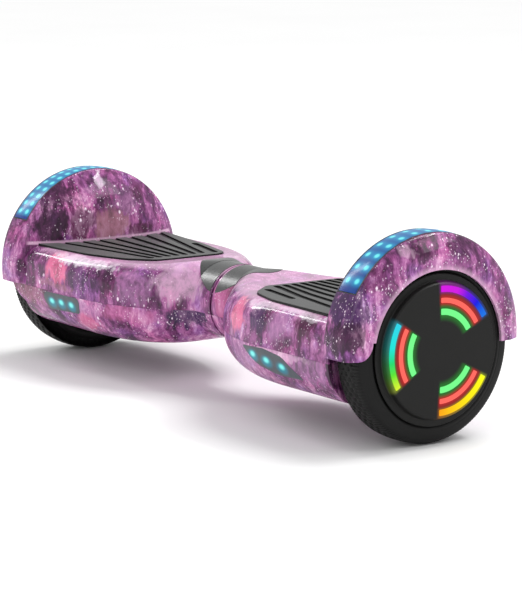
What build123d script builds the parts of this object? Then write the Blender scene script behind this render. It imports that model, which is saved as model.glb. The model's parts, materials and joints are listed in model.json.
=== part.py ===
from build123d import *
import os
from math import asin, cos, degrees, hypot, radians, sin

# Self balancing hoverboard with 6.5 inch hub-motor wheels, in millimetres.
# X runs along the wheel axle, the headlights face -Y, +Z is up, and the origin lies
# on the ground below the middle of the board.

# ---------------------------------------------------------------- driving dimensions
LENGTH = 584.0            # over both wheel discs
TYRE_R = 82.5             # 6.5 inch tyre
AXLE_Z = TYRE_R
DECK_Z = 112.0
BELLY_Z = 35.5            # ground clearance under the flat bottoms
BODY_HALF = 88.0          # half the depth of the body at its widest
ARCH_RISE = 5.5           # the fenders' centre lies this far above the axle
CROWN_R = 95.0            # fender crown, from the fender's centre
WALL = 2.8                # shell wall
FLOOR = 2.5               # thickness of the flat bottom
SEAM_Z = 74.0             # joint between the top and bottom shells
SEAM_GAP = 0.16

NECK_R = 35.4             # round neck at the middle of the board
NECK_GAP = 2.6            # slit between the two halves
NECK_END = 28.0           # where the body starts to flare out of the neck
NECK_STEP = 0.2           # small step between neck and body

SIDE_OPENING_R = 69.0     # hole in the fender's outer side, around the wheel disc
FENDER_FRONT_Z = {"left": 75.0, "right": 81.0}
FENDER_REAR_Z = 83.5
FENDER_CORNER_R = 15.0

PAD_RECESS = 1.2
PAD_THICK = 3.2
PAD_GAP = 0.3

TILT_LIMIT = 12.0         # twist of one half against the other, each way
FOOT_TRAVEL = 1.5
BUTTON_TRAVEL = 1.5

RUN_FIT = 0.03            # radial clearance of shafts and bushes
PRESS_GAP = 0.02          # clearance drawn where parts are pressed together

AXLE_LINE = Axis((0, 0, AXLE_Z), (1, 0, 0))


# ---------------------------------------------------------------- helpers
def spin(*edges):
    """Solid of revolution about the axle from edges drawn as (x, radius)."""
    return revolve(make_face(edges), AXLE_LINE)


def at(x, radius):
    """Point of a revolve outline: distance along the axle and radius from it."""
    return Vector(x, 0, AXLE_Z + radius)


def chain(*points):
    """Straight closed outline of (x, radius) points."""
    return Polyline(*[at(x, r) for x, r in points], close=True)


def turned(*points):
    """Straight-sided solid of revolution about the axle."""
    return spin(chain(*points))


def rod_x(radius, x0, x1, y=0.0, z=AXLE_Z):
    """Cylinder along X from x0 to x1."""
    middle = (x0 + x1) / 2
    return Pos(middle, y, z) * Rot(0, 90, 0) * Cylinder(radius, x1 - x0)


def rod_y(radius, y0, y1, x, z):
    """Cylinder along Y from y0 to y1."""
    return Pos(x, (y0 + y1) / 2, z) * Rot(90, 0, 0) * Cylinder(radius, y1 - y0)


def rod_z(radius, z0, z1, x, y):
    """Cylinder along Z from z0 to z1."""
    return Pos(x, y, (z0 + z1) / 2) * Cylinder(radius, z1 - z0)


def block(x0, x1, y0, y1, z0, z1):
    """Box between two corners."""
    centre = Pos((x0 + x1) / 2, (y0 + y1) / 2, (z0 + z1) / 2)
    return centre * Box(x1 - x0, y1 - y0, z1 - z0)


def around(part, count, offset=0.0):
    """Copies of a part turned about the axle line."""
    return [part.rotate(AXLE_LINE, offset + 360.0 * i / count) for i in range(count)]


def solids_of(shape):
    """Every separate solid of a shape or of a list of shapes."""
    if isinstance(shape, (list, tuple)):
        return [solid for item in shape for solid in solids_of(item)]
    return list(shape.solids())


def save(side, name, shape):
    """Writes one node. Parts are drawn on the right and mirrored for the left."""
    solids = solids_of(shape)
    if side == "left":
        solids = [mirror(solid, about=Plane.YZ) for solid in solids]
    node = f"{side}_{name}" if side else name
    export_step(solids[0] if len(solids) == 1 else Compound(children=solids), f"parts/{node}.step")


# ---------------------------------------------------------------- outer forms
# The body swells from the round neck to the deck. Each row is one cross-section:
# x, half depth, underside, top, top corner radius, bottom corner radius.
# The low rows reach a little below the belly, which is then cut flat inside and out.
# From STRAIGHT_X on the body is straight: the last two rows only lead the flare out level.
STRAIGHT_X = 165.0
BODY_END = 250.0
LOW_Z = BELLY_Z - 1.5
BODY_SECTIONS = (
    (NECK_END, NECK_R + NECK_STEP, 46.9, 118.1, 35.4, 35.4),
    (36.0, 42.4, 43.9, 118.0, 36.0, 36.0),
    (46.0, 51.3, 40.9, 117.2, 35.0, 37.0),
    (58.0, 61.3, 38.4, 115.2, 32.0, 38.0),
    (74.0, 70.6, 36.4, 113.2, 27.0, 39.0),
    (92.0, 78.0, LOW_Z + 1.0, 112.2, 22.0, 40.0),
    (112.0, 83.5, LOW_Z + 0.3, DECK_Z, 19.0, 40.0),
    (135.0, 87.0, LOW_Z, DECK_Z, 17.0, 40.0),
    (STRAIGHT_X, BODY_HALF, LOW_Z, DECK_Z, 16.0, 40.0),
    (205.0, BODY_HALF, LOW_Z, DECK_Z, 16.0, 40.0),
    (BODY_END, BODY_HALF, LOW_Z, DECK_Z, 16.0, 40.0),
)


def section_face(section, inset):
    """One cross-section of the body, its outline moved inwards by inset."""
    x, half, low, high, r_top, r_low = section
    y = half - inset
    z0 = low + inset
    z1 = high - inset
    plane = Plane(origin=(x, 0, 0), x_dir=(0, 1, 0), z_dir=(1, 0, 0))
    outline = FilletPolyline(
        (-y, z0), (y, z0), (y, z1), (-y, z1),
        radius=[r_low - inset, r_low - inset, r_top - inset, r_top - inset], close=True,
    )
    return plane * make_face(outline)


def body_form(inset=0.0):
    """Neck and body as one solid, its surface moved inwards by inset."""
    flare = loft([section_face(section, inset) for section in BODY_SECTIONS])
    flare -= block(STRAIGHT_X, 300, -120, 120, 0, 200)
    straight = extrude(section_face(BODY_SECTIONS[-3], inset), BODY_END - STRAIGHT_X, dir=(1, 0, 0))
    neck = rod_x(NECK_R - inset, NECK_GAP / 2, NECK_END + 4.0)
    return flare + straight + neck


# The wheel arch: a dome over the deck, the crown over the tread, and a rounded side.
DOME = ((230.2, 29.5), (232.9, 51.4), (238.7, 72.2), (244.7, 84.1), (250.3, 92.4))
CROWN = ((252.1, 94.0), (265.2, CROWN_R), (278.9, 94.0))
ARCH_SIDE = ((281.7, 92.5), (287.2, 82.6), (289.2, 64.0))


def arch_form(inset=0.0):
    """Wheel arch as a full turn about its own centre, its surface moved inwards by inset."""
    def moved(points, dx, dr):
        return [at(x + dx * inset, r + dr * inset) for x, r in points]

    dome = moved(DOME[:1], 1.0, 0.0)
    dome += moved(DOME[1:2], 0.985, -0.17)
    dome += moved(DOME[2:3], 0.93, -0.37)
    dome += moved(DOME[3:4], 0.85, -0.52)
    dome += moved(DOME[4:], 0.75, -0.66)
    crown = moved(CROWN[:1], 0.3, -0.95) + moved(CROWN[1:2], 0.0, -1.0) + moved(CROWN[2:], -0.3, -0.95)
    side = moved(ARCH_SIDE[:1], -0.7, -0.7) + moved(ARCH_SIDE[1:2], -0.96, -0.28) + moved(ARCH_SIDE[2:], -1.0, 0.0)
    edges = [
        Line(at(dome[0].X, 0), dome[0]),
        Spline(dome),
        Spline([dome[-1], crown[0]], tangents=[Spline(dome) % 1, (1, 0, 0.08)]),
        ThreePointArc(*crown),
        Spline([crown[-1], side[0], side[1], side[2]], tangents=[(1, 0, -0.1), (0.05, 0, -1)]),
        Line(side[-1], at(side[-1].X, 0)),
        Line(at(side[-1].X, 0), at(dome[0].X, 0)),
    ]
    return Pos(0, 0, ARCH_RISE) * spin(*edges)


def fender_zone(side):
    """Region above the fender's two lower ends."""
    front = block(200, 300, -110, 0, FENDER_FRONT_Z[side], 200)
    rear = block(200, 300, 0, 110, FENDER_REAR_Z, 200)
    corner_y = -SIDE_OPENING_R - 1.5
    corner_z = FENDER_FRONT_Z[side]
    corner = block(279, 300, corner_y - FENDER_CORNER_R, corner_y + 8, corner_z, corner_z + FENDER_CORNER_R)
    rounding = rod_x(FENDER_CORNER_R, 279, 300, corner_y - FENDER_CORNER_R, corner_z + FENDER_CORNER_R)
    return front + rear - (corner - rounding)


# ---------------------------------------------------------------- shells
# Plan corners of the foot pads from the front inner corner round to the rear one.
PAD_CORNERS = {
    "left": ((92, -34), (116, -55), (160, -68.5), (248, -75), (248, 76), (150, 61.5), (92, 47)),
    "right": ((88, -36), (110, -63), (150, -74), (248, -77), (248, 76), (150, 64), (91, 48)),
}
PAD_RADII = (13, 34, 60, 0, 0, 60, 14)
RECESS_Z = DECK_Z - PAD_RECESS

TRIM_HALF_X = 48.0        # the neck trim is an oval saddle over the neck
TRIM_HALF_Y = 33.0
TRIM_X0 = 3.6             # a lip of shell is left between the trim and the slit
TRIM_DEPTH = 1.5          # how deep it is let into the shell
TRIM_PROUD = 0.4

LIGHT_X0 = 252.3          # fender light slot in the crown
LIGHT_X1 = 278.3
LIGHT_FROM = 30.5         # degrees above horizontal at each end
LIGHT_FLOOR_R = 89.5

PLUNGER_X = 163.0
PLUNGER_Y = 42.0
PLUNGER_R = 5.0
PLUNGER_HOLE_R = 5.35

TOP_BOSSES = ((120, 52), (120, -52), (196, 54), (196, -54))
LOW_BOSSES = ((101, 53), (101, -53), (146, 58), (146, -58), (206, 58), (206, -58))
BOSS_R = 4.8
SCREW_R = 2.0
SCREW_HOLE_R = 2.15
HEAD_R = 3.8

BUTTON_X = 166.0
PORT_X = 202.0
REAR_Z = 85.5             # height of the button and the charge port
BUTTON_R = 8.0
PORT_R = 8.0


def pad_outline(side, grow=0.0):
    """Plan outline of the foot pad."""
    face = make_face(FilletPolyline(*PAD_CORNERS[side], radius=list(PAD_RADII), close=True))
    return offset(face, amount=grow) if grow else face


def prism_z(face, z0, z1):
    """Plan outline pulled up from z0 to z1."""
    return Pos(0, 0, z0) * extrude(face, z1 - z0, dir=(0, 0, 1))


def prism_y(points, y0, y1):
    """Outline of (x, z) points pulled along Y, its corners left sharp."""
    face = make_face(Polyline(*[(x, y0, z) for x, z in points], close=True))
    return extrude(face, y1 - y0, dir=(0, 1, 0))


def oval_z(half_x, half_y, z0, z1):
    """Upright oval prism about the middle of the board."""
    return Pos(0, 0, z0) * extrude(make_face(Ellipse(half_x, half_y).edges()), z1 - z0, dir=(0, 0, 1))


def trim_zone(grow=0.0):
    """Upright region of the neck trim."""
    oval = oval_z(TRIM_HALF_X + grow, TRIM_HALF_Y + grow, AXLE_Z, 140)
    return oval & block(TRIM_X0 - grow, 60, -60, 60, AXLE_Z, 140)


def crown_slot(x0, x1, r0, r1, ends=LIGHT_FROM):
    """Stretch of the fender crown between two radii, over the top of the wheel."""
    ring = rod_x(r1, x0, x1) - rod_x(r0, x0 - 1, x1 + 1)
    reach = 140.0
    rise = reach * sin(radians(ends)) / cos(radians(ends))
    wedge = Polyline(
        (x0 - 1, 0, AXLE_Z), (x0 - 1, -reach, AXLE_Z + rise), (x0 - 1, -reach, AXLE_Z + reach),
        (x0 - 1, reach, AXLE_Z + reach), (x0 - 1, reach, AXLE_Z + rise), close=True,
    )
    return Pos(0, 0, ARCH_RISE) * (ring & extrude(make_face(wedge), x1 - x0 + 2, dir=(1, 0, 0)))


# Headlight windows as (x, z) corner points, seen from the front, with corner radii.
HEADLIGHT = {
    "left": (((145, 73.4), (211.5, 72.6), (206, 55.4), (147.5, 58.2)), (5, 6, 6, 5)),
    "right": (((121.5, 71), (156, 73), (183, 69.6), (209, 52.6), (171, 51), (142.5, 56.6)),
              (0.8, 30, 22, 0.8, 60, 40)),
}
LAMP_SPOTS = {
    "left": ((160.3, 65.0), (178.5, 65.0), (195.7, 64.6)),
    "right": ((139.2, 65.4), (159.4, 62.8), (181.2, 60.2)),
}
LAMP_BOARD_Y = -76.6


def lamp_board_ends(side):
    """Where the two ribs stand that carry the headlight board."""
    spots = LAMP_SPOTS[side]
    return spots[0][0] - 10, spots[-1][0] + 10


def headlight_prism(side, grow=0.0, y0=-100.0, y1=-60.0):
    """Headlight window pulled along Y."""
    corners, radii = HEADLIGHT[side]
    outline = FilletPolyline(*[(x, z) for x, z in corners], radius=list(radii), close=True)
    face = make_face(outline)
    if grow:
        face = offset(face, amount=grow)
    plane = Plane(origin=(0, y0, 0), x_dir=(1, 0, 0), z_dir=(0, -1, 0))
    return extrude(plane * face, y1 - y0, dir=(0, 1, 0))


# The left bottom shell carries a tongue round the front of the tyre.
SKIRT_EDGE = ((269.5, 76.0), (263.0, 66.6), (250.0, 56.6), (236.0, 51.0))
SKIRT_CLEARANCE = 2.9


def skirt_zone():
    """Region of the tongue, seen from the front."""
    top_z = SEAM_Z + 2.0
    low = SKIRT_EDGE[-1][0]
    edges = [
        Spline([(x, -110, z) for x, z in SKIRT_EDGE]),
        Line((low, -110, SKIRT_EDGE[-1][1]), (low, -110, top_z)),
        Line((low, -110, top_z), (SKIRT_EDGE[0][0], -110, top_z)),
    ]
    return extrude(make_face(edges), 70, dir=(0, 1, 0))


def whole_shell(side):
    """Both shells of one half in one piece, hollow, with the wheel arch open."""
    arch = arch_form()
    outer = body_form() + (arch & fender_zone(side)) - block(-5, 300, -120, 120, 0, BELLY_Z)
    well = arch_form(WALL) + rod_x(SIDE_OPENING_R, 280, 300)
    hollow = body_form(WALL) - arch - block(-5, 300, -120, 120, 0, BELLY_Z + FLOOR)
    if side == "left":
        reach = SKIRT_EDGE[0][0] + 5.0 - BODY_END
        tongue = body_form() + extrude(section_face(BODY_SECTIONS[-1], 0.0), reach, dir=(1, 0, 0))
        tongue &= skirt_zone()
        tongue -= rod_x(TYRE_R + SKIRT_CLEARANCE, 200, 300) + body_form(WALL)
        return (outer - hollow - well) + tongue
    return outer - hollow - well


def boss(x, y, z0, z1, hole_z0, hole_z1, hole_r):
    """Screw boss with its hole."""
    return rod_z(BOSS_R, z0, z1, x, y) - rod_z(hole_r, hole_z0, hole_z1, x, y)


FRAME_Z0 = 74.4           # frame floor plate
FRAME_Z1 = 78.4
HEAD_SEAT_Z = 46.0        # screw heads sit deep in the bottom shell's bosses


def top_shell(side, whole):
    shell = whole & block(-5, 300, -120, 120, SEAM_Z + SEAM_GAP / 2, 200)
    inner_deck = DECK_Z - WALL - 0.05
    for x, y in TOP_BOSSES:
        shell += rod_z(BOSS_R, FRAME_Z1 + 0.1, inner_deck + 0.6, x, y)
        shell -= rod_z(SCREW_HOLE_R, 60, inner_deck - 6, x, y)
    shell -= prism_z(pad_outline(side, PAD_GAP), RECESS_Z, DECK_Z + 8) - arch_form()
    for y in (-PLUNGER_Y, PLUNGER_Y):
        shell -= rod_z(PLUNGER_HOLE_R, 100, 120, PLUNGER_X, y)
    shell -= crown_slot(LIGHT_X0, LIGHT_X1, 85, 100)
    shell -= trim_zone(0.15) - body_form(TRIM_DEPTH)
    shell -= rod_x(12, 200, 245) + block(200, 245, -12, 12, 60, AXLE_Z)
    if side == "right":
        shell -= rod_y(BUTTON_R + 0.35, 70, 100, BUTTON_X, REAR_Z)
        shell -= rod_y(PORT_R + PRESS_GAP, 70, 100, PORT_X, REAR_Z)
    return shell


def bottom_shell(side, whole):
    shell = whole & block(-5, 300, -120, 120, 0, SEAM_Z - SEAM_GAP / 2)
    inside = body_form(WALL / 2)
    for x, y in LOW_BOSSES:
        shell += rod_z(BOSS_R + 0.7, 20, FRAME_Z0 - 0.1, x, y) & inside
        shell -= rod_z(HEAD_R + 0.4, 20, HEAD_SEAT_Z, x, y)
        shell -= rod_z(SCREW_HOLE_R, 20, 80, x, y)
    for x in lamp_board_ends(side):
        shell += block(x - 1.5, x + 1.5, -95, LAMP_BOARD_Y - 0.05, 56, 68) & inside
    shell -= headlight_prism(side, 0.1)
    return shell


# ---------------------------------------------------------------- pad, trim, lights
GROOVE_WIDTH = 6.6
GROOVE_DEPTH = 1.5
GROOVE_COUNT = {"left": 7, "right": 8}
GROOVE_PITCH = 9.7        # at the inner ends
GROOVE_START_X = {"left": 104.0, "right": 97.0}
GROOVE_FIRST_Y = {"left": -32.4, "right": -30.2}
GROOVE_AXIS_Y = {"left": -12.6, "right": 11.0}       # a groove here would run along X
GROOVE_SPREAD = {"left": 0.0076, "right": 0.0051}    # how fast the others fan out from it
GROOVE_BEND_X = 148.0
GROOVE_BOW = {"left": 0.0, "right": -2.6}            # sideways, at the bend
GROOVE_END_X = 260.0
SHORT_GROOVE = {"left": ((101.5, 39.5), (156.5, 53.6)), "right": ((107.5, -47.6), (156, -56.6))}


def groove(*points):
    """One groove through plan points, with round ends, cut from above."""
    floor_z = RECESS_Z + PAD_THICK - GROOVE_DEPTH
    cut = rod_z(GROOVE_WIDTH / 2, floor_z, floor_z + 10, *points[0])
    for (x0, y0), (x1, y1) in zip(points, points[1:]):
        length = hypot(x1 - x0, y1 - y0)
        angle = degrees(asin((y1 - y0) / length))
        bar = Pos(length / 2, 0, 0) * Box(length, GROOVE_WIDTH, 10)
        cut += Pos(x0, y0, floor_z + 5) * Rot(0, 0, angle) * bar
        cut += rod_z(GROOVE_WIDTH / 2, floor_z, floor_z + 10, x1, y1)
    return cut


def long_groove(side, index):
    """One groove of the fan; it leaves the pad under the wheel arch."""
    x0 = GROOVE_START_X[side]
    y0 = GROOVE_FIRST_Y[side] + index * GROOVE_PITCH
    slope = (y0 - GROOVE_AXIS_Y[side]) * GROOVE_SPREAD[side]
    bend_y = y0 + slope * (GROOVE_BEND_X - x0) + GROOVE_BOW[side]
    end_y = y0 + slope * (GROOVE_END_X - x0)
    return groove((x0, y0), (GROOVE_BEND_X, bend_y), (GROOVE_END_X, end_y))


def foot_pad(side):
    """Rubber foot pad with a fan of grooves; it stops short of the wheel arch."""
    pad = prism_z(pad_outline(side), RECESS_Z, RECESS_Z + PAD_THICK)
    top = pad.faces().sort_by(Axis.Z)[-1]
    pad = fillet(top.edges(), 0.9)
    pad -= arch_form(-PAD_GAP)
    for i in range(GROOVE_COUNT[side]):
        pad -= long_groove(side, i)
    return pad - groove(*SHORT_GROOVE[side])


def neck_trim():
    """Saddle-shaped cover on top of the neck."""
    skin = body_form(-TRIM_PROUD) - body_form(TRIM_DEPTH)
    return skin & trim_zone()


def fender_light_tray():
    """Channel that lines the crown slot and carries the light strip."""
    outer = crown_slot(LIGHT_X0 + 0.05, LIGHT_X1 - 0.05, LIGHT_FLOOR_R, 94.3, LIGHT_FROM + 0.05)
    inner = crown_slot(LIGHT_X0 + 1.1, LIGHT_X1 - 1.1, LIGHT_FLOOR_R + 1.0, 99, LIGHT_FROM + 0.8)
    return outer - inner


LED_PAIRS = {"left": 19, "right": 13}
LED_PITCH = {"left": 6.0, "right": 8.7}   # degrees between pairs along the strip
LED_ROWS = (259.3, 271.3)


def fender_light_board(side):
    """Flexible strip with two rows of square LEDs."""
    strip = crown_slot(LIGHT_X0 + 1.4, LIGHT_X1 - 1.4, LIGHT_FLOOR_R + 1.0, LIGHT_FLOOR_R + 1.6, LIGHT_FROM + 1.5)
    lamps = []
    for i in range(LED_PAIRS[side]):
        turn = (i - (LED_PAIRS[side] - 1) / 2) * LED_PITCH[side]
        for x in LED_ROWS:
            lamp = block(x - 2, x + 2, -2, 2, AXLE_Z + LIGHT_FLOOR_R + 1.45, AXLE_Z + LIGHT_FLOOR_R + 3.0)
            lamps.append(Pos(0, 0, ARCH_RISE) * lamp.rotate(AXLE_LINE, turn))
    return strip + lamps


def fender_light_lens():
    """Clear cover that continues the curve of the crown."""
    band = crown_slot(LIGHT_X0 + 1.15, LIGHT_X1 - 1.15, LIGHT_FLOOR_R + 3.2, 99, LIGHT_FROM + 0.85)
    return band & arch_form()


def headlight_lens(side):
    skin = body_form(-0.2) - body_form(WALL - 0.3)
    return skin & headlight_prism(side)


def headlight_board(side):
    """Small board behind the headlight window with three domed LEDs."""
    x0, x1 = lamp_board_ends(side)
    dome_y = LAMP_BOARD_Y - 2.4
    board = block(x0 - 2, x1 + 2, LAMP_BOARD_Y, LAMP_BOARD_Y + 1.6, 57.5, 69)
    for x, z in LAMP_SPOTS[side]:
        board += rod_y(2.5, dome_y, LAMP_BOARD_Y + 0.1, x, z)
        board += Pos(x, dome_y, z) * Sphere(2.5)
    return board


# ---------------------------------------------------------------- wheel and hub motor
AXLE_R = 7.5
BEARING_R = 16.0
BEARING_W = 9.0
DRUM_R = 63.6             # seat of the tyre on the drum
DRUM_IN_R = 57.6
MAGNET_COUNT = 30
SLOT_COUNT = 27
STATOR_R = 53.4
STATOR_X0 = 250.0
STATOR_X1 = 268.0
COVER_R = 65.9
DISC_X = LENGTH / 2 - 0.4  # plateau of the wheel disc; the light bars stand proud of it
DISC_EDGE_R = 57.6


def tyre():
    """Solid rubber tyre: flat running band, round shoulders, outer side that swells to the disc."""
    inner_crown = ThreePointArc(at(254.5, TYRE_R - 0.8), at(258.2, TYRE_R - 0.22), at(262.0, TYRE_R))
    band = Line(at(262.0, TYRE_R), at(270.0, TYRE_R))
    outer_crown = ThreePointArc(at(270.0, TYRE_R), at(273.6, TYRE_R - 0.22), at(277.0, TYRE_R - 0.8))
    inner = ThreePointArc(at(246.4, 72.5), at(249.0, 79.4), at(254.5, TYRE_R - 0.8))
    outer = ThreePointArc(at(277.0, TYRE_R - 0.8), at(281.3, 79.9), at(283.2, 76.6))
    edges = [
        inner_crown, band, outer_crown, outer,
        Line(at(283.2, 76.6), at(284.6, 68.2)),
        Line(at(284.6, 68.2), at(282.2, 65.0)),
        Line(at(282.2, 65.0), at(278.0, DRUM_R + PRESS_GAP)),
        Line(at(278.0, DRUM_R + PRESS_GAP), at(247.0, DRUM_R + PRESS_GAP)),
        Line(at(247.0, DRUM_R + PRESS_GAP), at(246.0, 66.0)),
        Line(at(246.0, 66.0), at(246.4, 72.5)),
        inner,
    ]
    return spin(*edges)


def rotor_drum():
    """Cup-shaped rotor: rim for the tyre, outer wall and outer bearing seat."""
    drum = turned(
        (245.9, DRUM_IN_R), (245.9, DRUM_R), (276.5, DRUM_R), (278.2, 60.0), (278.2, 22.0),
        (281.0, 20.0), (281.0, 0), (278.0, 0), (278.0, BEARING_R + PRESS_GAP),
        (269.0, BEARING_R + PRESS_GAP), (269.0, 20.5), (273.8, 24.0), (273.8, 53.0), (270.5, DRUM_IN_R),
    )
    drill = rod_x(1.7, 273, 280, 0, AXLE_Z + 56)
    for hole in around(drill, 6, 30):
        drum -= hole
    return drum


def motor_cover():
    """Inner side plate of the motor with the inner bearing seat."""
    cover = turned(
        (239.6, BEARING_R + 3.5), (239.6, BEARING_R + PRESS_GAP), (248.5, BEARING_R + PRESS_GAP),
        (248.5, BEARING_R + 3.5), (246.0, 24.0), (245.8, DRUM_IN_R - 0.1), (245.8, DRUM_R - 0.2),
        (242.6, DRUM_R - 0.6), (242.2, 26.0),
    )
    for screw in around(rod_x(1.6, 241.4, 242.5, 0, AXLE_Z + 60), 6, 15):
        cover += screw
    return cover


def magnet_ring():
    """Magnets set round the inside of the drum."""
    magnet = block(STATOR_X0, STATOR_X1, -5.3, 5.3, AXLE_Z + 54.9, AXLE_Z + 57.0)
    return around(magnet, MAGNET_COUNT)


def stator():
    """Laminated core with its teeth, each tooth inside its copper coil."""
    middle = (STATOR_X0 + STATOR_X1) / 2
    core = turned((STATOR_X0, 28), (STATOR_X0, 36), (STATOR_X1, 36), (STATOR_X1, 28))
    hub = turned((STATOR_X0 + 2, AXLE_R + PRESS_GAP), (STATOR_X0 + 2, 15), (middle - 2, 18), (middle - 2, 28.0),
                 (middle + 2, 28.0), (middle + 2, 18), (STATOR_X1 - 2, 15), (STATOR_X1 - 2, AXLE_R + PRESS_GAP))
    rim = rod_x(STATOR_R, STATOR_X0, STATOR_X1) - rod_x(STATOR_R - 2.0, STATOR_X0 - 1, STATOR_X1 + 1)
    slot = block(STATOR_X0 - 1, STATOR_X1 + 1, -0.9, 0.9, AXLE_Z + STATOR_R - 3, AXLE_Z + STATOR_R + 2)
    step = 360.0 / SLOT_COUNT
    for cut in around(slot, SLOT_COUNT, step / 2):
        rim -= cut
    neck = block(STATOR_X0, STATOR_X1, -1.8, 1.8, AXLE_Z + 35.5, AXLE_Z + STATOR_R - 1.0)
    iron = core + hub + rim + around(neck, SLOT_COUNT)
    coil = block(STATOR_X0 - 2.2, STATOR_X1 + 2.2, -4.0, 4.0, AXLE_Z + 37.2, AXLE_Z + 50.8)
    coil -= block(STATOR_X0 - 0.1, STATOR_X1 + 0.1, -1.9, 1.9, AXLE_Z + 37, AXLE_Z + 51)
    return [iron] + around(coil, SLOT_COUNT)


def axle():
    """Hollow axle; its inner end is flattened for the clamp and lets the motor cable out."""
    shaft = rod_x(AXLE_R, 196.0, 277.6)
    shaft -= rod_x(3.0, 195.0, 247.0)
    shaft -= block(195.0, 226.0, AXLE_FLAT, AXLE_R + 1, 60, 110)
    shaft -= block(195.0, 226.0, -AXLE_R - 1, -AXLE_FLAT, 60, 110)
    return shaft


def bearing(x0):
    """Sealed ball bearing seen from outside: two rings and a recessed shield."""
    ring = rod_x(BEARING_R, x0, x0 + BEARING_W) - rod_x(AXLE_R + RUN_FIT, x0 - 1, x0 + BEARING_W + 1)
    groove_out = rod_x(13.6, x0 - 1, x0 + 0.5) - rod_x(9.9, x0 - 2, x0 + 1)
    return ring - groove_out - Pos(BEARING_W + 0.5, 0, 0) * groove_out


def wheel_disc():
    """Outer wheel cover: ring, bevel and plateau with windows for the light bars."""
    x = DISC_X
    cover = turned(
        (281.4, 63.9), (284.4, COVER_R), (285.2, COVER_R), (286.0, 65.0), (286.0, 60.4),
        (x - 4.8, 59.6), (x - 1.2, 58.6), (x, DISC_EDGE_R), (x, 0), (x - 2.4, 0), (x - 2.4, 56.2),
        (283.8, 57.8), (283.8, 62.0), (277.4, 62.0), (277.4, 63.4), (281.4, 63.4),
    )
    for post in around(rod_x(2.6, BOARD_X1 + 0.05, x - 2.0, 0, AXLE_Z + 26.0), 3, 30):
        cover += post
    return cover - around(light_bars(0.12), 3)


# Light bars: mean radii and half widths; three groups of three.
BAR_RADII = (53.2, 43.4, 33.6)
BAR_HALF_W = (2.6, 2.1, 2.6)
BAR_CORNER_R = 0.8
BAR_SPAN = 31.0           # degrees each side of the group's middle
BOARD_X0 = 284.6
BOARD_X1 = 286.2


def light_bars(grow=0.0):
    """One group of three arc-shaped light bars, in the group that faces the front."""
    bars = []
    for radius, half_width in zip(BAR_RADII, BAR_HALF_W):
        r0 = radius - half_width - grow
        r1 = radius + half_width + grow
        ring = rod_x(r1, DISC_X - 3.2 - grow, LENGTH / 2 + grow * 8) - rod_x(r0, 280, 300)
        reach = 90.0
        open_y = reach * cos(radians(BAR_SPAN + grow * 1.4))
        open_z = reach * sin(radians(BAR_SPAN + grow * 1.4))
        wedge = make_face(Polyline((280, 0, AXLE_Z), (280, -open_y, AXLE_Z + open_z),
                                   (280, -open_y, AXLE_Z - open_z), close=True))
        bar = ring & extrude(wedge, 20, dir=(1, 0, 0))
        bars.append(fillet(bar.edges().filter_by(Axis.X), BAR_CORNER_R + grow))
    return Part() + bars


def wheel_lights():
    """All nine light bars of a wheel."""
    return [solid for group in around(light_bars(), 3) for solid in solids_of(group)]


def wheel_light_board():
    """Ring-shaped board behind the wheel disc with a row of LEDs under every bar."""
    board = rod_x(56.0, BOARD_X0, BOARD_X1) - rod_x(22.0, BOARD_X0 - 1, BOARD_X1 + 1)
    lamps = []
    for radius in BAR_RADII:
        for group in range(3):
            for turn in (-20, 0, 20):
                lamp = block(BOARD_X1 - 0.1, BOARD_X1 + 1.4, -radius - 1.6, -radius + 1.6, AXLE_Z - 1.6, AXLE_Z + 1.6)
                lamps.append(lamp.rotate(AXLE_LINE, 120 * group + turn))
    return board + lamps


# ---------------------------------------------------------------- frame and pivot
SHAFT_R = 15.0
SHAFT_IN_R = 9.0
SHAFT_END_X = 54.0
HUB_R = 22.0
BUSH_R = 18.0
HUB_X0 = 5.0
HUB_X1 = 50.0
PIN_X = 27.0
PIN_R = 2.5
CLAMP_X0 = 198.0
CLAMP_X1 = 224.0
CLAMP_HOLES = ((203, 15), (203, -15), (219, 15), (219, -15))
GYRO_Z = 96.0
GYRO_POSTS = ((146, 30), (146, -30), (180, 30), (180, -30))
M5_R = 2.5
AXLE_FLAT = 6.0           # half width of the axle over its flats
BOARD_Z0 = 62.0           # controller board
BOARD_Z1 = 63.6


BUSH_LENGTH = 14.0
BOARD_POSTS = ((96, 31), (96, -31), (190, 31), (190, -31))


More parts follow.
